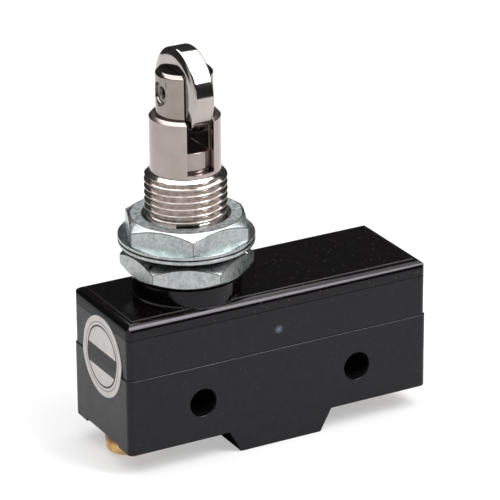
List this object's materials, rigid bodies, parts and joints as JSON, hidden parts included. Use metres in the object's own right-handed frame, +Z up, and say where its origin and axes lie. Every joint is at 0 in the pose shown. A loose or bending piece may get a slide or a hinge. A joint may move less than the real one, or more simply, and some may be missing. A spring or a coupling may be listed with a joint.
{
  "type": "roller plunger limit switch",
  "caption": "Snap-action basic switch in a dark moulded case, worked by a spring-loaded cross roller plunger in a threaded panel bushing with two nuts and dished washers.",
  "frame": {"origin": "midway between the two side mounting holes, in the middle plane of the case", "axes": "+X along the case away from the plunger, +Y from the front face to the back, +Z up along the plunger"},
  "size_m": [0.0493, 0.0196, 0.0599],
  "materials": {
    "phenolic": "satin moulded, dark charcoal",
    "cover_resin": "glossy moulded, near black",
    "nickel": "bright nickel plating",
    "zinc": "blue-white zinc plating, satin",
    "roller_steel": "polished",
    "spring_steel": "drawn wire",
    "pin_resin": "moulded",
    "blade_copper": "rolled copper alloy",
    "contact_silver": "silver alloy",
    "brass": "yellow brass",
    "sticker_foil": "silver foil with plain rings"
  },
  "bodies": {
    "housing": {"base_case": "phenolic", "middle_case": "phenolic", "top_cover": "cover_resin", "threaded_bushing": "nickel", "lower_nut": "zinc", "upper_nut": "zinc", "lower_washer": "zinc", "upper_washer": "zinc", "blade_rivet": "brass", "common_terminal": "brass", "open_terminal": "brass", "closed_terminal": "brass", "open_contact": "contact_silver", "closed_contact": "contact_silver", "terminal_screws": "brass", "screw_washers": "brass", "round_sticker": "sticker_foil"},
    "plunger": {"roller_plunger": "nickel", "roller_axle": "nickel"},
    "roller": {"roller": "roller_steel"},
    "pin": {"push_pin": "pin_resin", "overtravel_spring": "spring_steel"},
    "blade": {"snap_blade": "blade_copper", "moving_contact": "contact_silver"}
  },
  "joints": [
    {"name": "plunger_slide", "type": "slide", "parent": "housing", "child": "plunger", "axis": [0, 0, 1], "range_m": [-0.004, 0], "stiffness_N_per_m": 800, "springref_m": 0.003, "deforming": ["overtravel_spring"]},
    {"name": "roller_spin", "type": "hinge", "parent": "plunger", "child": "roller", "pos_m": [-0.0105, 0, 0.04445], "axis": [1, 0, 0], "continuous": true},
    {"name": "pin_slide", "type": "slide", "parent": "housing", "child": "pin", "axis": [0, 0, 1], "range_m": [-0.000361, 0]},
    {"name": "blade_tilt", "type": "hinge", "parent": "housing", "child": "blade", "pos_m": [0.0146, 0, 0.00718], "axis": [0, 1, 0], "range_deg": [-0.84, 0]}
  ],
  "couplings": [
    {"joint": "pin_slide", "follows": "plunger_slide", "ratio": 0.089},
    {"joint": "blade_tilt", "follows": "plunger_slide", "rad_per_m": 3.62}
  ]
}
